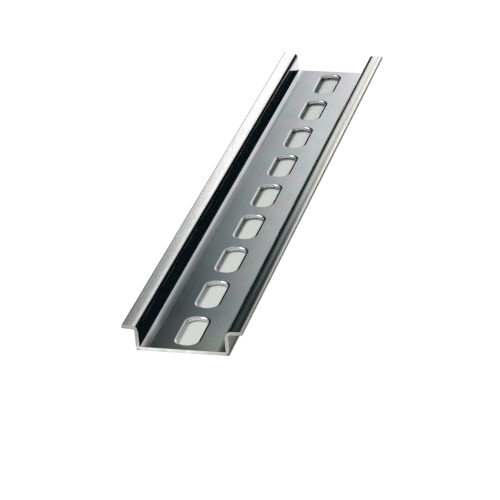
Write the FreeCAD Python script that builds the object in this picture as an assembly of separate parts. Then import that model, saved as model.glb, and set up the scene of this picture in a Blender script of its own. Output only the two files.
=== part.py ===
import FreeCAD, Part
import math
import os

# A slotted top-hat mounting rail: one strip of steel, cold rolled into a hat
# section and punched with a row of round-ended slots along its base.
# The origin is the middle of the base's underside. X runs across the rail,
# Y along it, and Z up, to the open side where the two flanges stand out.

# Driving dimensions, in millimetres
RAIL_LENGTH = 225.0  # one end to the other
RAIL_WIDTH = 35.0  # over the outer edges of both flanges
WEB_WIDTH = 27.0  # over the outer faces of both webs
RAIL_HEIGHT = 7.5  # underside of the base to the top of the flanges
GAUGE = 1.0  # thickness of the strip, the same all round the section
BEND_RADIUS = 0.8  # inside of each of the four bends
EDGE_ROUND = 0.35  # both arrises of each long edge of the strip
SLOT_LENGTH = 18.0  # end to end, at the straight wall below the rolled rim
SLOT_WIDTH = 6.2  # side to side, at the same wall
SLOT_BRIDGE = 7.0  # strip left between two slots, which sets their pitch
PUNCH_ROLL = 0.4  # radius that the punch draws down round a slot's upper rim
END_MARGIN = 2.0  # least strip between an end of the rail and a slot

# Sizes worked out from them
half_width = RAIL_WIDTH / 2
web_outer = WEB_WIDTH / 2
web_inner = web_outer - GAUGE
flange_underside = RAIL_HEIGHT - GAUGE
outside_radius = BEND_RADIUS + GAUGE
slot_pitch = SLOT_LENGTH + SLOT_BRIDGE
slot_count = int((RAIL_LENGTH - 2 * END_MARGIN + SLOT_BRIDGE) // slot_pitch)

TOUCH = 1e-6  # how close two coordinates lie when they are the same


def bend(before, corner, after, radius):
    """The arc that rounds a corner of an outline, tangent to both of its sides."""
    back = (before - corner).normalize()
    ahead = (after - corner).normalize()
    half_angle = back.getAngle(ahead) / 2
    inwards = (back + ahead).normalize()
    trim = radius / math.tan(half_angle)
    crown = radius / math.sin(half_angle) - radius
    start = corner + back * trim
    middle = corner + inwards * crown
    end = corner + ahead * trim
    return Part.Arc(start, middle, end).toShape()


def rounded_outline(corners):
    """A closed wire across the rail from corners of (x, z, radius)."""
    points = [FreeCAD.Vector(x, 0, z) for x, z, radius in corners]
    following = points[1:] + points[:1]
    bends = [
        bend(points[i - 1], points[i], following[i], radius)
        for i, (x, z, radius) in enumerate(corners)
    ]
    edges = []
    for i, arc in enumerate(bends):
        side_start = bends[i - 1].valueAt(bends[i - 1].LastParameter)
        side_end = arc.valueAt(arc.FirstParameter)
        edges.append(Part.makeLine(side_start, side_end))
        edges.append(arc)
    return Part.Wire(edges)


def hat_section():
    """The strip's section: base, two webs and two flanges, of one gauge round each bend."""
    right_half = [
        (web_outer, 0, outside_radius),
        (web_outer, flange_underside, BEND_RADIUS),
        (half_width, flange_underside, EDGE_ROUND),
        (half_width, RAIL_HEIGHT, EDGE_ROUND),
        (web_inner, RAIL_HEIGHT, outside_radius),
        (web_inner, GAUGE, BEND_RADIUS),
    ]
    left_half = [(-x, z, radius) for x, z, radius in reversed(right_half)]
    return Part.Face(rounded_outline(right_half + left_half))


def rolled_strip():
    """The hat section drawn out to the rail's length, about its middle."""
    section = hat_section()
    section.translate(FreeCAD.Vector(0, -RAIL_LENGTH / 2, 0))
    return section.extrude(FreeCAD.Vector(0, RAIL_LENGTH, 0))


def slot_punch(middle_y):
    """The round-ended bar that takes one slot out of the base."""
    radius = SLOT_WIDTH / 2
    end_reach = SLOT_LENGTH / 2 - radius
    outline = []
    for side in (1, -1):
        arc_y = middle_y + side * end_reach
        arc_start = FreeCAD.Vector(side * radius, arc_y, 0)
        arc_end = FreeCAD.Vector(-side * radius, arc_y, 0)
        arc_tip = FreeCAD.Vector(0, middle_y + side * SLOT_LENGTH / 2, 0)
        next_start = FreeCAD.Vector(-side * radius, middle_y - side * end_reach, 0)
        outline.append(Part.Arc(arc_start, arc_tip, arc_end).toShape())
        outline.append(Part.makeLine(arc_end, next_start))
    return Part.Face(Part.Wire(outline)).extrude(FreeCAD.Vector(0, 0, GAUGE))


def punch_slots(strip):
    """The row of slots, centred on the rail, each with its upper rim drawn down."""
    row_start = -slot_pitch * (slot_count - 1) / 2
    punches = [slot_punch(row_start + i * slot_pitch) for i in range(slot_count)]
    punched = strip.cut(punches)
    rims = [edge for edge in punched.Edges if is_slot_rim(edge)]
    return punched.makeFillet(PUNCH_ROLL, rims)


def is_slot_rim(edge):
    """Whether an edge runs round the top of a slot."""
    box = edge.BoundBox
    level = abs(box.ZMin - GAUGE) < TOUCH and abs(box.ZMax - GAUGE) < TOUCH
    reach = max(abs(box.XMin), abs(box.XMax))
    return level and reach < SLOT_WIDTH / 2 + TOUCH


os.makedirs("parts", exist_ok=True)
slotted_rail = punch_slots(rolled_strip())
slotted_rail.exportStep("parts/slotted_rail.step")
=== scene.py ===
import math

import bmesh
import bpy
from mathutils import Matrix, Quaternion, Vector


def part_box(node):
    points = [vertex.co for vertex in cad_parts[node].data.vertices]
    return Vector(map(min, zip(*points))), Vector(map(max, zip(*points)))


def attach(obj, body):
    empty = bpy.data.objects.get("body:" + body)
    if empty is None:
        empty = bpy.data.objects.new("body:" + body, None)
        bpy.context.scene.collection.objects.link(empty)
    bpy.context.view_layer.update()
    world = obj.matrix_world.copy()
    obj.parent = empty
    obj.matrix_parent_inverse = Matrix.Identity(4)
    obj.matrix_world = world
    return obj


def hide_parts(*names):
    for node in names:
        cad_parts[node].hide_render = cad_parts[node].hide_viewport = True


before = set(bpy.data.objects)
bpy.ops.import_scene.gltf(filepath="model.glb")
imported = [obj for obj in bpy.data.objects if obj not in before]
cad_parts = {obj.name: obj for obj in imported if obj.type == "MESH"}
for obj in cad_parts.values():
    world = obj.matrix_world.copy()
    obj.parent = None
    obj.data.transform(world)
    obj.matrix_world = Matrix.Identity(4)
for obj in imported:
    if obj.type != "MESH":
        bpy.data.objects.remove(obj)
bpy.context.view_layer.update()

# A slotted top-hat rail of zinc-plated steel, lying on its base with its open
# side up. Lengths are in metres. X runs across the rail, Y along it, Z up.

MM = 0.001
GAUGE = 1.0 * MM  # thickness of the strip
WEB_WIDTH = 27.0 * MM  # over the outer faces of both webs
BASE_BEND = 0.4 * MM  # inside of the two folds at the base
FLANGE_BEND = {-1: 1.25 * MM, 1: 1.8 * MM}  # outside of the folds to the left and right flange
EDGE_ROUND = 0.35 * MM  # both arrises of each long edge
END_BREAK = 0.1 * MM  # the arrises of the two cut ends
SLOT_LENGTH = 18.0 * MM
SLOT_WIDTH = 6.2 * MM
SLOT_PITCH = 25.0 * MM
SLOT_COUNT = 9
WALL_TOP = 0.7 * MM  # the upright part of a slot's wall ends here, under its lip
EDGE_BAND = 0.2 * MM  # what lies this close to the full width belongs to a long edge
NEAR = 0.01 * MM  # how close two places lie when they are the same

rail_low, rail_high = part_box("slotted_rail")
HALF_WIDTH = rail_high.x
HALF_LENGTH = rail_high.y
HEIGHT = rail_high.z
WEB_INNER = WEB_WIDTH / 2 - GAUGE

BASE_BEND_STEPS = 10
FLANGE_BEND_STEPS = 16
EDGE_STEPS = 5
END_STEPS = 2
SLOT_SIDES = 64
SMOOTH_ANGLE = math.radians(35)

# A slot's lip and wall, from the outside in: distance out from the slot's wall,
# and depth below the base's upper face, in mm
SLOT_LIP = [
    (0.75, 0.0),
    (0.68, 0.006),
    (0.60, 0.022),
    (0.50, 0.048),
    (0.40, 0.076),
    (0.30, 0.108),
    (0.20, 0.145),
    (0.12, 0.185),
    (0.06, 0.235),
    (0.02, 0.31),
    (0.0, 0.42),
    (0.0, 0.96),
    (0.04, 1.0),
    (0.75, 1.0),
]
LIP_RADIUS = SLOT_WIDTH / 2 + SLOT_LIP[0][0] * MM  # half the width of a slot with its lip

# The sheet sprang back a little after rolling. Across it, at each distance from
# the middle line in mm, it rises outwards at this many degrees.
BASE_SLOPES = {
    -1: [(10.0, 0.0), (10.5, 0.3), (10.8, 0.7), (11.0, 1.25), (11.2, 2.1), (11.4, 2.9), (11.7, 3.3),
         (12.5, 3.5)],
    1: [(10.3, 0.0), (11.0, 1.0), (12.5, 2.0)],
}
FLANGE_SLOPES = {
    -1: [(12.78, 1.2), (14.25, 1.1), (14.5, 0.9), (14.75, 0.6), (15.0, 0.25), (15.4, 0.0), (17.5, 0.0)],
    1: [(12.27, 2.0), (14.25, 1.6), (14.5, 0.9), (14.8, 0.3), (15.2, 0.0), (15.55, 0.4), (15.9, 1.7),
        (16.2, 1.5), (16.5, 0.0), (16.8, -1.4), (17.1, -3.2), (17.5, -6.0)],
}
# Along the rail, from the near end in mm: how much more the left and the right
# flange rise outwards, in degrees.
FLANGE_TILT = [
    (0, 2.95, 2.0),
    (25, 2.6, 2.35),
    (50, 2.75, 2.35),
    (75, 3.1, 1.35),
    (100, 4.1, 0.5),
    (125, 4.4, 0.3),
    (150, 4.4, 0.1),
    (175, 4.4, 0.0),
    (200, 4.4, 0.0),
    (225, 4.4, 0.0),
]


# Modelling helpers

def alone(piece):
    """Makes a piece the only one selected, and the active one."""
    bpy.ops.object.select_all(action="DESELECT")
    piece.select_set(True)
    bpy.context.view_layer.objects.active = piece


def newest(name):
    """Names the piece that was just added."""
    piece = bpy.context.object
    piece.name = name
    piece.data.name = name
    return piece


def pick(kind, wanted):
    """In edit mode, selects only the edges, faces or verts for which wanted(item) is true."""
    bpy.ops.mesh.select_all(action="DESELECT")
    mesh = bpy.context.object.data
    cage = bmesh.from_edit_mesh(mesh)
    for item in getattr(cage, kind):
        if wanted(item):
            item.select_set(True)
    cage.select_flush_mode()
    bmesh.update_edit_mesh(mesh)


def same(value, place):
    return abs(value - place) < NEAR


def all_at(item, axis, place):
    """Whether every corner of an edge or face lies at one place along an axis."""
    return all(same(v.co[axis], place) for v in item.verts)


def runs_along(edge):
    """Whether an edge runs along the rail, and not across it."""
    start, end = edge.verts
    return abs(start.co.y - end.co.y) > GAUGE


def apply_modifier(piece, kind, **settings):
    """Adds a modifier with these settings and applies it."""
    alone(piece)
    modifier = piece.modifiers.new(kind.lower(), kind)
    for name, value in settings.items():
        setattr(modifier, name, value)
    bpy.ops.object.modifier_apply(modifier=modifier.name)


# The rail

# Axes, the two sides or ends of the rail, and the places of its three materials
X = 0
Y = 1
SIDES = (-1, 1)
ZINC = 0
CUT_END = 1
SLOT_WALL = 2


def upper_fold(side):
    """How far from the middle line a web meets its flange."""
    place, slope = FLANGE_SLOPES[side][0]
    return place * MM


def folded_sheet():
    """The strip's upper surface, folded up into webs and out into flanges, with sharp folds."""
    bpy.ops.mesh.primitive_plane_add(size=1, location=(0, 0, GAUGE))
    sheet = newest("rail")
    sheet.scale = (2 * WEB_INNER, 2 * HALF_LENGTH, 1)
    bpy.ops.object.transform_apply(location=True, rotation=True, scale=True)
    bpy.ops.object.mode_set(mode="EDIT")
    bpy.ops.mesh.select_mode(type="EDGE")
    for side in SIDES:
        fold = upper_fold(side)
        pick("edges", lambda edge: all_at(edge, X, side * WEB_INNER))
        rise = (side * (fold - WEB_INNER), 0, HEIGHT - GAUGE)
        bpy.ops.mesh.extrude_region_move(TRANSFORM_OT_translate={"value": rise})
        reach = (side * (HALF_WIDTH - fold), 0, 0)
        bpy.ops.mesh.extrude_region_move(TRANSFORM_OT_translate={"value": reach})
    bpy.ops.object.mode_set(mode="OBJECT")
    return sheet


def cut_across(axis, place):
    """In edit mode, cuts the whole sheet by a plane at one place along an axis."""
    bpy.ops.mesh.select_all(action="SELECT")
    point = [0, 0, 0]
    normal = [0, 0, 0]
    point[axis] = place
    normal[axis] = 1
    bpy.ops.mesh.bisect(plane_co=point, plane_no=normal)


def lift(wanted, height):
    """In edit mode, moves the verts for which wanted(vert) is true up by a height."""
    pick("verts", wanted)
    bpy.ops.transform.translate(value=(0, 0, height))


def heights(slopes):
    """The places of a list of slopes, and the heights that the slopes add up to there."""
    place, slope = slopes[0]
    height = 0.0
    made = [(place * MM, height)]
    for next_place, next_slope in slopes[1:]:
        mean_slope = math.radians((slope + next_slope) / 2)
        height += (next_place - place) * MM * math.tan(mean_slope)
        place = next_place
        slope = next_slope
        made.append((place * MM, height))
    return made


def curl_base(sheet):
    """Curls the base up a little on its way to its two folds."""
    alone(sheet)
    bpy.ops.object.mode_set(mode="EDIT")
    for side, slopes in BASE_SLOPES.items():
        line = heights(slopes)
        for place, height in line[:-1]:
            cut_across(X, side * place)
        bpy.ops.mesh.select_mode(type="VERT")
        for place, height in line:
            lift(lambda v: same(v.co.x, side * place) and v.co.z < HEIGHT / 2, height)
    bpy.ops.object.mode_set(mode="OBJECT")


def on_flange(vert):
    return vert.co.z > HEIGHT / 2


def tip_flanges(sheet):
    """Slopes each flange down towards its fold, by an amount that changes along the rail."""
    alone(sheet)
    bpy.ops.object.mode_set(mode="EDIT")
    for along, left, right in FLANGE_TILT[1:-1]:
        cut_across(Y, along * MM - HALF_LENGTH)
    for side, slopes in FLANGE_SLOPES.items():
        line = heights(slopes)
        top = max(height for place, height in line)
        for place, height in line[1:-1]:
            cut_across(X, side * place)
        bpy.ops.mesh.select_mode(type="VERT")
        for place, height in line:
            for along, left, right in FLANGE_TILT:
                y = along * MM - HALF_LENGTH
                tilt = math.radians(left if side < 0 else right)
                fall = top - height + (HALF_WIDTH - place) * math.tan(tilt)
                lift(lambda v: on_flange(v) and same(v.co.x, side * place) and same(v.co.y, y), -fall)
    bpy.ops.object.mode_set(mode="OBJECT")


def round_folds(sheet):
    """Turns the four sharp folds into round bends."""
    alone(sheet)
    bpy.ops.object.mode_set(mode="EDIT")
    bpy.ops.mesh.select_mode(type="EDGE")
    folds = []
    for side in SIDES:
        folds.append((side * WEB_INNER, BASE_BEND, BASE_BEND_STEPS))
        folds.append((side * upper_fold(side), FLANGE_BEND[side], FLANGE_BEND_STEPS))
    for place, radius, steps in folds:
        pick("edges", lambda edge: all_at(edge, X, place) and runs_along(edge))
        bpy.ops.mesh.bevel(offset=radius, segments=steps, profile=0.5, affect="EDGES")
    bpy.ops.object.mode_set(mode="OBJECT")


def square_long_edges(rail):
    """Stands the strip's two long edges upright at the rail's full width."""
    alone(rail)
    bpy.ops.object.mode_set(mode="EDIT")
    bpy.ops.mesh.select_mode(type="VERT")
    for side in SIDES:
        pick("verts", lambda v: side * v.co.x > HALF_WIDTH - EDGE_BAND)
        bpy.ops.transform.resize(value=(0, 1, 1), center_override=(side * HALF_WIDTH, 0, 0))
    bpy.ops.object.mode_set(mode="OBJECT")


def is_outermost(edge):
    return all(abs(v.co.x) > HALF_WIDTH - EDGE_BAND / 2 for v in edge.verts)


def round_strip_edges(rail):
    """Rounds the four arrises along the strip's two long edges."""
    alone(rail)
    bpy.ops.object.mode_set(mode="EDIT")
    bpy.ops.mesh.select_mode(type="EDGE")
    pick("edges", lambda edge: runs_along(edge) and is_outermost(edge))
    bpy.ops.mesh.bevel(offset=EDGE_ROUND, segments=EDGE_STEPS, profile=0.5, affect="EDGES")
    bpy.ops.object.mode_set(mode="OBJECT")


def add_ring(radius, height, fill):
    """A ring of as many sides as a slot's two round ends have."""
    half_step = math.pi / SLOT_SIDES
    bpy.ops.mesh.primitive_circle_add(
        vertices=SLOT_SIDES,
        radius=radius / math.cos(half_step),
        fill_type=fill,
        location=(0, 0, height),
        rotation=(0, 0, half_step),
    )
    bpy.ops.object.transform_apply(location=True, rotation=True, scale=True)


def stretch_ends():
    """In edit mode, draws a round shape out to the slot's length."""
    bpy.ops.mesh.select_mode(type="VERT")
    for side in SIDES:
        pick("verts", lambda v: side * v.co.y > 0)
        bpy.ops.transform.translate(value=(0, side * (SLOT_LENGTH - SLOT_WIDTH) / 2, 0))


def slot_punch():
    """A round-ended bar that clears the base for one slot and its lip."""
    add_ring(LIP_RADIUS, -GAUGE, "NGON")
    punch = newest("punch")
    bpy.ops.object.mode_set(mode="EDIT")
    bpy.ops.mesh.select_all(action="SELECT")
    bpy.ops.mesh.extrude_region_move(TRANSFORM_OT_translate={"value": (0, 0, 3 * GAUGE)})
    bpy.ops.mesh.select_all(action="SELECT")
    bpy.ops.mesh.normals_make_consistent(inside=False)
    stretch_ends()
    bpy.ops.object.mode_set(mode="OBJECT")
    return punch


def slot_edge():
    """One slot's lip, drawn down by the punch, its wall, and a narrow rim underneath."""
    add_ring(LIP_RADIUS, GAUGE, "NOTHING")
    edge = newest("slot_edge")
    bpy.ops.object.mode_set(mode="EDIT")
    bpy.ops.mesh.select_mode(type="EDGE")
    bpy.ops.mesh.select_all(action="SELECT")
    radius = LIP_RADIUS
    depth = 0.0
    for offset, next_depth in SLOT_LIP[1:]:
        next_radius = SLOT_WIDTH / 2 + offset * MM
        fall = (depth - next_depth) * MM
        bpy.ops.mesh.extrude_region_move(TRANSFORM_OT_translate={"value": (0, 0, fall)})
        ratio = next_radius / radius
        bpy.ops.transform.resize(value=(ratio, ratio, 1), center_override=(0, 0, 0))
        radius = next_radius
        depth = next_depth
    stretch_ends()
    bpy.ops.object.mode_set(mode="OBJECT")
    return edge


def row_of(piece):
    """Copies a piece to every slot's place and joins the copies."""
    first = -SLOT_PITCH * (SLOT_COUNT - 1) / 2
    copies = []
    for i in range(SLOT_COUNT):
        alone(piece)
        bpy.ops.object.duplicate()
        copy = bpy.context.object
        copy.location.y = first + i * SLOT_PITCH
        copies.append(copy)
    bpy.data.objects.remove(piece)
    alone(copies[0])
    for copy in copies:
        copy.select_set(True)
    bpy.ops.object.transform_apply(location=True, rotation=True, scale=True)
    bpy.ops.object.join()
    return bpy.context.object


def is_cut_wall(face):
    """Whether a face is one that the punches left standing in the row of slots."""
    upright = abs(face.normal.z) < 0.1
    in_row = all(abs(v.co.x) < LIP_RADIUS + NEAR for v in face.verts)
    inboard = all(abs(v.co.y) < HALF_LENGTH - NEAR for v in face.verts)
    return upright and in_row and inboard


def punch_slots(rail):
    """Cuts the row of slots and fits each with its drawn-down edge."""
    bpy.ops.object.select_all(action="DESELECT")
    punches = row_of(slot_punch())
    apply_modifier(rail, "BOOLEAN", operation="DIFFERENCE", solver="EXACT", object=punches)
    bpy.data.objects.remove(punches)

    alone(rail)
    bpy.ops.object.mode_set(mode="EDIT")
    bpy.ops.mesh.select_mode(type="FACE")
    pick("faces", is_cut_wall)
    bpy.ops.mesh.delete(type="FACE")
    bpy.ops.object.mode_set(mode="OBJECT")

    edges = row_of(slot_edge())
    alone(edges)
    rail.select_set(True)
    bpy.context.view_layer.objects.active = rail
    bpy.ops.object.join()
    bpy.ops.object.mode_set(mode="EDIT")
    bpy.ops.mesh.select_mode(type="VERT")
    bpy.ops.mesh.select_all(action="SELECT")
    bpy.ops.mesh.remove_doubles(threshold=NEAR / 2)
    bpy.ops.mesh.normals_make_consistent(inside=False)
    bpy.ops.object.mode_set(mode="OBJECT")


def is_at_end(item):
    """Whether an edge or face lies in one of the rail's two cut ends."""
    return all(abs(v.co.y) > HALF_LENGTH - NEAR for v in item.verts)


def break_cut_ends(rail):
    """Makes each cut end one face and takes the sharpness off its outline."""
    alone(rail)
    bpy.ops.object.mode_set(mode="EDIT")
    bpy.ops.mesh.select_mode(type="FACE")
    pick("faces", is_at_end)
    bpy.ops.mesh.dissolve_faces()
    bpy.ops.mesh.select_mode(type="EDGE")
    pick("edges", is_at_end)
    bpy.ops.mesh.bevel(
        offset=END_BREAK,
        segments=END_STEPS,
        profile=0.5,
        affect="EDGES",
        clamp_overlap=False,
    )
    bpy.ops.object.mode_set(mode="OBJECT")


def smooth(rail):
    """Shades the bends round and keeps the flats flat."""
    alone(rail)
    bpy.ops.object.shade_smooth_by_angle(angle=SMOOTH_ANGLE)
    apply_modifier(rail, "WEIGHTED_NORMAL", keep_sharp=True, weight=100)


def finish_faces(rail):
    """Zinc all over, bare steel on the two sheared ends, and walls in the slots with painted shade."""
    for material in (zinc_plate(), sheared_steel(), punched_wall()):
        rail.data.materials.append(material)
    for face in rail.data.polygons:
        if abs(face.center.y) > HALF_LENGTH - NEAR:
            face.material_index = CUT_END
        elif abs(face.center.x) < SLOT_WIDTH / 2 + NEAR and face.center.z < WALL_TOP:
            face.material_index = SLOT_WALL
        else:
            face.material_index = ZINC


def make_rail():
    """The rail, folded, sprung, punched and cut as the real one is."""
    rail = folded_sheet()
    curl_base(rail)
    tip_flanges(rail)
    round_folds(rail)
    apply_modifier(rail, "SOLIDIFY", thickness=GAUGE, offset=-1, use_even_offset=True)
    square_long_edges(rail)
    round_strip_edges(rail)
    punch_slots(rail)
    break_cut_ends(rail)
    smooth(rail)
    finish_faces(rail)
    return rail


# Shader building

class Socket:
    """A value inside a node tree, so that sums are written as plain expressions."""

    def __init__(self, tree, link):
        self.tree = tree
        self.link = link

    def output(self, name):
        """Another output of the node that this one belongs to."""
        return Socket(self.tree, self.link.node.outputs[name])

    def _math(self, operation, *values):
        return self.tree.node("ShaderNodeMath", {"operation": operation}, dict(enumerate(values)))

    def __add__(self, other):
        return self._math("ADD", self, other)

    def __sub__(self, other):
        return self._math("SUBTRACT", self, other)

    def __rsub__(self, other):
        return self._math("SUBTRACT", other, self)

    def __mul__(self, other):
        return self._math("MULTIPLY", self, other)

    def __truediv__(self, other):
        return self._math("DIVIDE", self, other)

    def __abs__(self):
        return self._math("ABSOLUTE", self)

    __radd__ = __add__
    __rmul__ = __mul__


class Tree:
    """The node tree of a material or a world, which node() adds to."""

    def __init__(self, owner):
        owner.use_nodes = True
        self.nodes = owner.node_tree.nodes
        self.links = owner.node_tree.links
        self.nodes.clear()

    def node(self, kind, settings=None, inputs=None, output=0):
        """Adds a node, makes its settings, fills or links its sockets, and gives one output."""
        made = self.nodes.new(kind)
        for name, value in (settings or {}).items():
            if name == "stops":
                set_stops(made.color_ramp, value)
            else:
                setattr(made, name, value)
        for name, value in (inputs or {}).items():
            if isinstance(value, Socket):
                self.links.new(value.link, made.inputs[name])
            else:
                made.inputs[name].default_value = value
        return Socket(self, made.outputs[output]) if len(made.outputs) else None


def set_stops(ramp, stops):
    """Gives a colour ramp these stops of (place, colour), in rising order."""
    while len(ramp.elements) < len(stops):
        ramp.elements.new(1.0)
    for element, (place, colour) in zip(ramp.elements, stops):
        element.position = place
        element.color = colour


def grey(value):
    return (value, value, value, 1)


def surface_point(tree):
    """A point of the surface as one vector, and its x, y and z."""
    place = tree.node("ShaderNodeTexCoord", {}, {}, "Object")
    x = tree.node("ShaderNodeSeparateXYZ", {}, {0: place})
    return place, x, x.output(1), x.output(2)


def fade(tree, value, span, results=(0.0, 1.0), interpolation="LINEAR"):
    """Goes from the first to the last result while a value goes through a span."""
    return tree.node("ShaderNodeMapRange", {"interpolation_type": interpolation}, {
        "Value": value,
        "From Min": span[0], "From Max": span[1],
        "To Min": results[0], "To Max": results[1]})


def soft_fade(tree, value, span, results=(0.0, 1.0)):
    """A fade that starts and ends gently."""
    return fade(tree, value, span, results, "SMOOTHSTEP")


def within(tree, value, middle, reach):
    """1 where a value lies no farther than a reach from a middle, and 0 elsewhere."""
    return tree.node("ShaderNodeMath", {"operation": "COMPARE"}, {0: value, 1: middle, 2: reach})


def patches(tree, place, pattern):
    """Soft random patches, about 0 to 1, of a pattern's size in mm and its detail."""
    size, detail = pattern
    scale = [1 / (length * MM) for length in size]
    spread = tree.node("ShaderNodeMapping", {}, {"Vector": place, "Scale": scale})
    noise = tree.node("ShaderNodeTexNoise", {}, {"Vector": spread, "Scale": 1.0, "Detail": detail})
    return fade(tree, noise, (0.30, 0.70))


def tint(tree, amount, first, second):
    """A mix of two colours."""
    return tree.node("ShaderNodeMix", {"data_type": "RGBA"}, {0: amount, 6: first, 7: second}, 2)


def toned(tree, level, tone=(1.0, 1.0, 1.0)):
    """A colour as bright as a level, with this share of red, green and blue."""
    return tree.node("ShaderNodeCombineColor", {}, {
        channel: level * share for channel, share in enumerate(tone)})


# The zinc

TEAL_ZINC = (0.635, 0.750, 0.752, 1)
VIOLET_ZINC = (0.758, 0.700, 0.795, 1)
OLIVE_ZINC = (0.745, 0.740, 0.670, 1)
PALE_ZINC = (0.805, 0.780, 0.765, 1)
WARM_ZINC = (0.800, 0.755, 0.705, 1)
STAINED_ZINC = (0.980, 0.880, 0.760, 1)

# Random markings: size in mm across, along and up the rail, and detail
CLOUDS = ((9, 16, 9), 3.0)
SMEARS = ((5, 22, 5), 3.0)
SMUDGES = ((4.5, 7, 4.5), 3.0)
STREAKS = ((0.45, 45, 2), 2.0)
FINE_STREAKS = ((0.25, 9, 2), 1.0)
MOTTLE = ((0.45, 1.8, 2), 3.0)
GRAIN = ((0.35, 0.5, 0.35), 1.0)
WAVES = ((18, 30, 18), 1.0)

# How much of each colour comes in
CLOUD_CONTRAST = 1.6
CLOUD_START = 0.3
SMEAR_OLIVE = 0.45
FLANGE_TINT = 0.8
STAIN = 0.2
SMEARED_STAIN = 0.5

# How much light each marking gives or takes: everywhere, more on both flanges,
# and still more on the right one
STREAK_LIGHT = 0.06
FLANGE_STREAK_LIGHT = 0.16
RIGHT_STREAK_LIGHT = 0.2
FINE_STREAK_LIGHT = 0.02
FLANGE_FINE_STREAK_LIGHT = 0.07
FLANGE_MOTTLE = 0.28
BASE_SMUDGE = 0.09
BARE_LIGHT = 0.95
RIGHT_EDGE_DARK = 0.15
# How dark the painted shade on the webs is
WEB_SHADE_DARK = 0.92

ZINC_ROUGHNESS = 0.065
GRAIN_ROUGHNESS = 0.02
FLANGE_ROUGHNESS = 0.04
POLISH = 0.04

CROWN_LEAN = math.radians(0.17)
CROWN_BEND = math.radians(15.0)
NEAR_END_LEAN = math.radians(0.3)
WAVE_HEIGHT = 0.012 * MM
RIPPLE_HEIGHT = 0.0016 * MM
BASE_RIPPLE = 0.25
GRAIN_HEIGHT = 0.0006 * MM

# Where each marking comes in, from where it is absent to where it is full:
# out from the middle line, up from the floor, and along from the near end
OVER_FLANGE = (WEB_INNER, WEB_INNER + 1.5 * MM)
PAST_FOLD = (WEB_INNER - 0.25 * MM, WEB_INNER - 0.05 * MM)
LEFT_SIDE = (0.0, -1.0 * MM)
BY_FOLD = (10.5 * MM, 11.5 * MM)
RIGHT_EDGE = (16.2 * MM, 16.7 * MM)
# Where the painted shade on the webs starts and ends
BAND_BOTTOM = (5.5 * MM, 5.9 * MM)
BAND_TOP = (6.72 * MM, 6.47 * MM)
LEFT_BAND_RISE = 0.16 * MM
WEB_FOOT = (1.6 * MM, 1.3 * MM)
BELOW_FLANGE = (6.8 * MM, 6.6 * MM)
NEAR_CUT = (17 * MM - HALF_LENGTH, 1 * MM - HALF_LENGTH)
NEAR_LEAN = (12 * MM - HALF_LENGTH, 26 * MM - HALF_LENGTH)
CROWN_LEFT = -12 * MM
CROWN_RIGHT = 10 * MM


def painted_web_shade(tree, x, z):
    """Painted shade on each web: a dark band high up, under its fold to the flange, and another at its
    foot by the base.
    """
    on_left = fade(tree, x, LEFT_SIDE)
    below_top = fade(tree, z - on_left * LEFT_BAND_RISE, BAND_TOP)
    high_band = fade(tree, z, BAND_BOTTOM) * below_top
    return fade(tree, abs(x), PAST_FOLD) * (high_band + fade(tree, z, WEB_FOOT))


def zinc_relief(tree, place, x, y, flange, streaks, grain):
    """The base's slight crown, the sheet's waves, the streaks' ripples and the grain's specks."""
    flat_x = tree.node("ShaderNodeClamp", {}, {"Value": x, "Min": CROWN_LEFT, "Max": CROWN_RIGHT})
    lean = CROWN_LEAN + soft_fade(tree, y, NEAR_LEAN, (NEAR_END_LEAN, 0.0))
    crown = (flat_x * lean + flat_x * flat_x * CROWN_BEND) * -1
    waves = patches(tree, place, WAVES) * WAVE_HEIGHT
    ripples = streaks * (RIPPLE_HEIGHT * BASE_RIPPLE + flange * RIPPLE_HEIGHT)
    specks = grain * GRAIN_HEIGHT
    return tree.node("ShaderNodeBump", {}, {
        "Height": crown + waves + ripples + specks, "Distance": 1.0, "Strength": 1.0})


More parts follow.
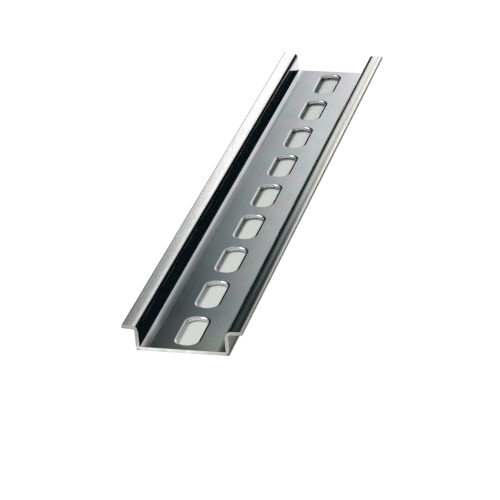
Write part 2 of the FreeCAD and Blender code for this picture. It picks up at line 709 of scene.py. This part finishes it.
def zinc_plate():
    """Bright zinc over rolled steel, clouded in hue and drawn out in faint streaks along the strip."""
    material = bpy.data.materials.new("zinc_plate")
    tree = Tree(material)
    place, x, y, z = surface_point(tree)
    left_flange = fade(tree, 0 - x, OVER_FLANGE)
    right_flange = fade(tree, x, OVER_FLANGE)
    flange = left_flange + right_flange
    near_cut = soft_fade(tree, y, NEAR_CUT)
    clouds = patches(tree, place, CLOUDS)
    smears = patches(tree, place, SMEARS)
    smudges = patches(tree, place, SMUDGES)
    streaks = patches(tree, place, STREAKS)
    fine_streaks = patches(tree, place, FINE_STREAKS)
    mottle = patches(tree, place, MOTTLE)
    grain = patches(tree, place, GRAIN)

    hue = tint(tree, clouds * CLOUD_CONTRAST - CLOUD_START, TEAL_ZINC, VIOLET_ZINC)
    hue = tint(tree, smears * SMEAR_OLIVE, hue, OLIVE_ZINC)
    hue = tint(tree, left_flange * FLANGE_TINT, hue, PALE_ZINC)
    hue = tint(tree, right_flange * FLANGE_TINT, hue, WARM_ZINC)
    hue = tint(tree, near_cut * (STAIN + smears * SMEARED_STAIN), hue, STAINED_ZINC)

    edge_wear = fade(tree, x, RIGHT_EDGE) * RIGHT_EDGE_DARK
    # Darker at the right flange's edge, and painted shade on the webs
    wear_and_web_shade = 1 - edge_wear - painted_web_shade(tree, x, z) * WEB_SHADE_DARK
    streak_light = STREAK_LIGHT + flange * FLANGE_STREAK_LIGHT + right_flange * RIGHT_STREAK_LIGHT
    fine_light = FINE_STREAK_LIGHT + flange * FLANGE_FINE_STREAK_LIGHT
    drawn_out = streaks * streak_light + fine_streaks * fine_light
    mottled = (mottle - 0.5) * flange * FLANGE_MOTTLE
    smudged = smudges * BASE_SMUDGE * (1 - flange)
    shade = wear_and_web_shade * (BARE_LIGHT + drawn_out + mottled - smudged)
    shading = tree.node("ShaderNodeCombineXYZ", {}, {0: shade, 1: shade, 2: shade})
    colour = tree.node("ShaderNodeVectorMath", {"operation": "MULTIPLY"}, {0: hue, 1: shading})

    polish = fade(tree, abs(x), BY_FOLD) * fade(tree, z, BELOW_FLANGE) * POLISH
    dullness = grain * GRAIN_ROUGHNESS + flange * (streaks * FLANGE_ROUGHNESS)
    surface = tree.node("ShaderNodeBsdfPrincipled", {}, {
        "Base Color": colour,
        "Metallic": 1.0,
        "Roughness": ZINC_ROUGHNESS + dullness - polish,
        "Normal": zinc_relief(tree, place, x, y, flange, streaks, grain)})
    tree.node("ShaderNodeOutputMaterial", {}, {"Surface": surface})
    return material


# The bare steel of the cut ends and the walls of the slots

PALE_STEEL = (0.97, 0.98, 0.91, 1)
DARKER_RIGHT_STEEL = (0.50, 0.49, 0.44, 1)
TORN_STEEL = (0.46, 0.45, 0.46, 1)
BLOTS = ((3.0, 3, 2.0), 3.0)
CUT_GRAIN = ((0.3, 0.3, 0.6), 1.0)
TEARS = ((0.4, 0.4, 2.5), 2.0)
DARKENING_RIGHT = (0.3 * WEB_INNER, WEB_INNER)
TORN_SHARE = 0.7
STEEL_ROUGHNESS = 0.32
CUT_GRAIN_ROUGHNESS = 0.12
WALL_TONE = (0.97, 1.0, 1.0)
WALL_LIGHT = 0.85
TEAR_LIGHT = 0.3
WALL_ROUGHNESS = 0.38
TEAR_ROUGHNESS = 0.1

# Painted shade along the rail, across a slot and up its wall: where it changes, and its limits
SIDE_ALONG = (-HALF_LENGTH, -0.4 * HALF_LENGTH)
SIDE_SHADE = (0.85, 0.30)
END_ALONG = (-HALF_LENGTH, 0.0)
END_SHADE = (0.97, 0.84)
TO_SIDE = (2.2 * MM, 3.0 * MM)
UP_WALL = (0.0, 0.5 * GAUGE)
WALL_SHADE = (0.5, 1.3)


def sheared_steel():
    """The bare steel of the two cut ends: pale, with a duller tear across it."""
    material = bpy.data.materials.new("sheared_steel")
    tree = Tree(material)
    place, x, y, z = surface_point(tree)
    # Darker towards the right
    steel = tint(tree, fade(tree, x, DARKENING_RIGHT), PALE_STEEL, DARKER_RIGHT_STEEL)
    colour = tint(tree, patches(tree, place, BLOTS) * TORN_SHARE, steel, TORN_STEEL)
    surface = tree.node("ShaderNodeBsdfPrincipled", {}, {
        "Base Color": colour,
        "Metallic": 1.0,
        "Roughness": STEEL_ROUGHNESS + patches(tree, place, CUT_GRAIN) * CUT_GRAIN_ROUGHNESS})
    tree.node("ShaderNodeOutputMaterial", {}, {"Surface": surface})
    return material


def punched_wall():
    """The walls of the slots: zinc over the torn steel that the punch left, with painted shade: darker
    far along, on the side walls and towards the bottom.
    """
    material = bpy.data.materials.new("punched_wall")
    tree = Tree(material)
    place, x, y, z = surface_point(tree)
    tears = patches(tree, place, TEARS)
    end = fade(tree, y, END_ALONG, END_SHADE)
    side = fade(tree, y, SIDE_ALONG, SIDE_SHADE) * fade(tree, z, UP_WALL, WALL_SHADE)
    # Painted shade: the side walls darker than the end walls, both darker far along, and the side walls
    # darker towards the bottom
    shade = (end + fade(tree, abs(x), TO_SIDE) * (side - end)) * (WALL_LIGHT + tears * TEAR_LIGHT)
    surface = tree.node("ShaderNodeBsdfPrincipled", {}, {
        "Base Color": toned(tree, shade, WALL_TONE),
        "Metallic": 1.0,
        "Roughness": WALL_ROUGHNESS + tears * TEAR_ROUGHNESS})
    tree.node("ShaderNodeOutputMaterial", {}, {"Surface": surface})
    return material


# The camera

AIM_POINT = Vector((3.49, -40.17, 0.0)) * MM
CAMERA_AZIMUTH = 13.28
CAMERA_ELEVATION = 23.90
CAMERA_ROLL = -2.13
CAMERA_DISTANCE = 865.3 * MM
LENS_MM = 205.51
SENSOR_MM = 36.0


def add_camera():
    """The camera, at the photograph's viewing angle."""
    azimuth = math.radians(CAMERA_AZIMUTH)
    elevation = math.radians(CAMERA_ELEVATION)
    look = Vector((
        -math.sin(azimuth) * math.cos(elevation),
        math.cos(azimuth) * math.cos(elevation),
        -math.sin(elevation),
    ))
    data = bpy.data.cameras.new("camera")
    data.lens = LENS_MM
    data.sensor_width = SENSOR_MM
    camera = bpy.data.objects.new("camera", data)
    camera.location = AIM_POINT - look * CAMERA_DISTANCE
    roll = Quaternion((0, 0, 1), math.radians(CAMERA_ROLL))
    camera.rotation_mode = "QUATERNION"
    camera.rotation_quaternion = look.to_track_quat("-Z", "Y") @ roll
    bpy.context.scene.collection.objects.link(camera)
    bpy.context.scene.camera = camera


# The studio's light, with angles in degrees

FRONT_SPAN = 45.0
CAMERA_WHITE = 1.0
DARK = (0.004, 0.009, 0.012)
# To the right of straight ahead, and the colour of the light there
FRONT_LIGHT = [
    (-45, (0.50, 0.50, 0.50)),
    (-32, DARK),
    (-16.4, (0.012, 0.020, 0.022)),
    (-15.5, (0.035, 0.050, 0.050)),
    (-15.0, (0.052, 0.070, 0.068)),
    (-14.5, (0.105, 0.132, 0.128)),
    (-14.0, (0.180, 0.212, 0.205)),
    (-13.5, (0.280, 0.310, 0.300)),
    (-13.0, (0.375, 0.400, 0.395)),
    (-12.5, (0.50, 0.525, 0.52)),
    (-12.0, (0.63, 0.650, 0.645)),
    (-11.6, (0.74, 0.755, 0.75)),
    (-10.7, (0.84, 0.845, 0.84)),
    (10.5, DARK),
    (34, DARK),
    (45, (0.50, 0.50, 0.50)),
]
# The same, for how much of the bright middle field shows there
FIELD_SHARE = [
    (-10.7, 0),
    (-10.0, 1),
    (9, 1),
    (10.5, 0.45),
    (11.4, 0.44),
    (12.4, 0.26),
    (13.3, 0.05),
    (14, 0),
]
# The bright field dims upwards, and away from its left side
FIELD_HEIGHT = (24, 29.5)
FIELD_LIGHT = (1.2, 0.68)
FIELD_ACROSS = (-9.5, -4)
FIELD_FADE = (1.0, 0.84)
FIELD_TONE = (0.99, 1.0, 1.01)
# The light near the horizon, straight ahead
LOW_LIGHT = (0.26, 0.275, 0.28, 1)
LOW_HEIGHT = (12, 7)
LOW_ASIDE = (17, 12)
# The light from above, with a window high on the left
ROOF_HEIGHT = (36, 52)
ROOF_LIGHT = 0.62
ZENITH_HEIGHT = (72, 82)
ZENITH_LIGHT = 0.75
WINDOW_DIRECTION = Vector((-0.80, 0.10, 0.60)).normalized()
WINDOW_SPAN = (0.72, 0.92)
WINDOW_LIGHT = (0.0, 3.0)


def in_radians(span):
    return [math.radians(degrees) for degrees in span]


def across_front(degrees):
    """Where an angle to the right of straight ahead lies across the front, from 0 to 1."""
    return degrees / (2 * FRONT_SPAN) + 0.5


def front_light(tree, azimuth, height):
    """A bright field behind the rail between two dark ones, grey near the horizon."""
    across = azimuth / math.radians(2 * FRONT_SPAN) + 0.5
    wall_stops = [(across_front(degrees), (*colour, 1)) for degrees, colour in FRONT_LIGHT]
    share_stops = [(across_front(degrees), grey(share)) for degrees, share in FIELD_SHARE]
    sides = tree.node("ShaderNodeValToRGB", {"stops": wall_stops}, {"Fac": across})
    share = tree.node("ShaderNodeValToRGB", {"stops": share_stops}, {"Fac": across})
    upwards = fade(tree, height, in_radians(FIELD_HEIGHT), FIELD_LIGHT)
    glare = upwards * fade(tree, azimuth, in_radians(FIELD_ACROSS), FIELD_FADE)
    walls = tint(tree, share, sides, toned(tree, glare, FIELD_TONE))
    low = soft_fade(tree, height, in_radians(LOW_HEIGHT))
    ahead = fade(tree, abs(azimuth), in_radians(LOW_ASIDE))
    return tint(tree, low * ahead, walls, LOW_LIGHT)


def roof_light(tree, direction, height):
    """Soft light from above, with a window of brighter light high on the left."""
    from_window = tree.node("ShaderNodeVectorMath", {"operation": "DOT_PRODUCT"}, {
        0: direction, 1: WINDOW_DIRECTION}, "Value")
    level = soft_fade(tree, from_window, WINDOW_SPAN, WINDOW_LIGHT) + ROOF_LIGHT
    zenith = soft_fade(tree, height, in_radians(ZENITH_HEIGHT))
    return tint(tree, zenith, toned(tree, level), grey(ZENITH_LIGHT))


def light_studio():
    """A soft dome that lights the rail, and plain white behind it for the camera."""
    world = bpy.data.worlds.new("studio")
    bpy.context.scene.world = world
    tree = Tree(world)
    direction = tree.node("ShaderNodeTexCoord", {}, {}, "Generated")
    x = tree.node("ShaderNodeSeparateXYZ", {}, {0: direction})
    azimuth = tree.node("ShaderNodeMath", {"operation": "ARCTAN2"}, {0: x, 1: x.output(1)})
    height = tree.node("ShaderNodeMath", {"operation": "ARCSINE"}, {0: x.output(2)})
    front = front_light(tree, azimuth, height)
    roof = roof_light(tree, direction, height)
    glow = tint(tree, soft_fade(tree, height, in_radians(ROOF_HEIGHT)), front, roof)
    seen = tree.node("ShaderNodeLightPath", {}, {}, "Is Camera Ray")
    shown = tint(tree, seen, glow, grey(CAMERA_WHITE))
    background = tree.node("ShaderNodeBackground", {}, {"Color": shown, "Strength": 1.0})
    tree.node("ShaderNodeOutputWorld", {}, {"Surface": background})


# The floor

FLOOR_SIZE = 30
DIP_WIDTH = 23.0 * MM
DIP_LENGTH = 224.0 * MM
DIP_DEPTH = {-1: 0.2 * MM, 1: 0.95 * MM}  # at the near and the far end
FLOOR_PAINT = grey(0.85)
FLOOR_LIGHT = 1.08
LIT_SHARE = 0.93
# The floor under the rail: its painted shade, how it changes along it, and a painted shadow by the
# slots' left walls
UNDER_ALONG = (-HALF_LENGTH, HALF_LENGTH)
UNDER_SHADE = (0.86, 0.80)
UNDER_TONE = (0.97, 1.0, 0.96)
SHADE_LEFT = (-2.1 * MM, -2.9 * MM)
SHADE_ALONG = (-80 * MM, -25 * MM)
SHADE_AMOUNT = (0.0, 0.6)
# The floor beside the rail, which only its reflections show, painted as a shadow
PAINTED_SHADOW_BESIDE = (0.42, 0.41, 0.40, 1)
BESIDE_MIDDLE = 45 * MM
BESIDE_REACH = 31 * MM
BESIDE_LENGTH = 200 * MM


def is_under_rail(face):
    return all(abs(v.co.x) < DIP_WIDTH and abs(v.co.y) < DIP_LENGTH for v in face.verts)


def dipped_floor():
    """A flat floor with a shallow dip under the rail, deeper at its far end."""
    bpy.ops.object.select_all(action="DESELECT")
    bpy.ops.mesh.primitive_plane_add(size=FLOOR_SIZE)
    floor = newest("floor")
    bpy.ops.object.mode_set(mode="EDIT")
    for side in SIDES:
        cut_across(X, side * DIP_WIDTH / 2)
        cut_across(Y, side * DIP_LENGTH / 2)
    bpy.ops.mesh.select_mode(type="FACE")
    pick("faces", is_under_rail)
    bpy.ops.mesh.extrude_region_move(TRANSFORM_OT_translate={"value": (0, 0, -GAUGE)})
    bpy.ops.mesh.select_mode(type="VERT")
    for side, depth in DIP_DEPTH.items():
        lift(lambda v: v.co.z < -NEAR and side * v.co.y > 0, GAUGE - depth)
    bpy.ops.object.mode_set(mode="OBJECT")
    return floor


def pale_floor():
    """A floor that is white to the camera, with painted shade under the rail and a painted shadow
    beside it that only its reflections show.
    """
    material = bpy.data.materials.new("pale_floor")
    tree = Tree(material)
    place, x, y, z = surface_point(tree)
    seen = tree.node("ShaderNodeLightPath", {}, {}, "Is Camera Ray")
    half_width = HALF_WIDTH - seen * (HALF_WIDTH - WEB_WIDTH / 2)
    under = within(tree, x, 0.0, half_width) * within(tree, y, 0.0, HALF_LENGTH)
    beside_x = within(tree, abs(x), BESIDE_MIDDLE, BESIDE_REACH)
    beside = beside_x * within(tree, y, 0.0, BESIDE_LENGTH) * (1 - seen)

    # Painted shadow by the slots' left walls, deeper far along, and painted shade under the rail,
    # darker far along
    painted_left_shadow = soft_fade(tree, x, SHADE_LEFT) * fade(tree, y, SHADE_ALONG, SHADE_AMOUNT)
    shade = fade(tree, y, UNDER_ALONG, UNDER_SHADE) * (1 - painted_left_shadow)
    # Painted shadow on the floor beside the rail, for reflections only
    open_floor = tint(tree, beside, FLOOR_PAINT, PAINTED_SHADOW_BESIDE)
    colour = tint(tree, under, open_floor, toned(tree, shade, UNDER_TONE))
    paint = tree.node("ShaderNodeBsdfDiffuse", {}, {"Color": colour})
    lit = tree.node("ShaderNodeEmission", {}, {"Color": grey(1.0), "Strength": FLOOR_LIGHT})
    share = (1 - under) * (LIT_SHARE - beside * LIT_SHARE)
    surface = tree.node("ShaderNodeMixShader", {}, {0: share, 1: paint, 2: lit})
    tree.node("ShaderNodeOutputMaterial", {}, {"Surface": surface})
    return material


rail = make_rail()
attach(rail, "root")
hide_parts("slotted_rail")

floor = dipped_floor()
floor.data.materials.append(pale_floor())
add_camera()
light_studio()
bpy.context.scene.view_settings.view_transform = "Standard"
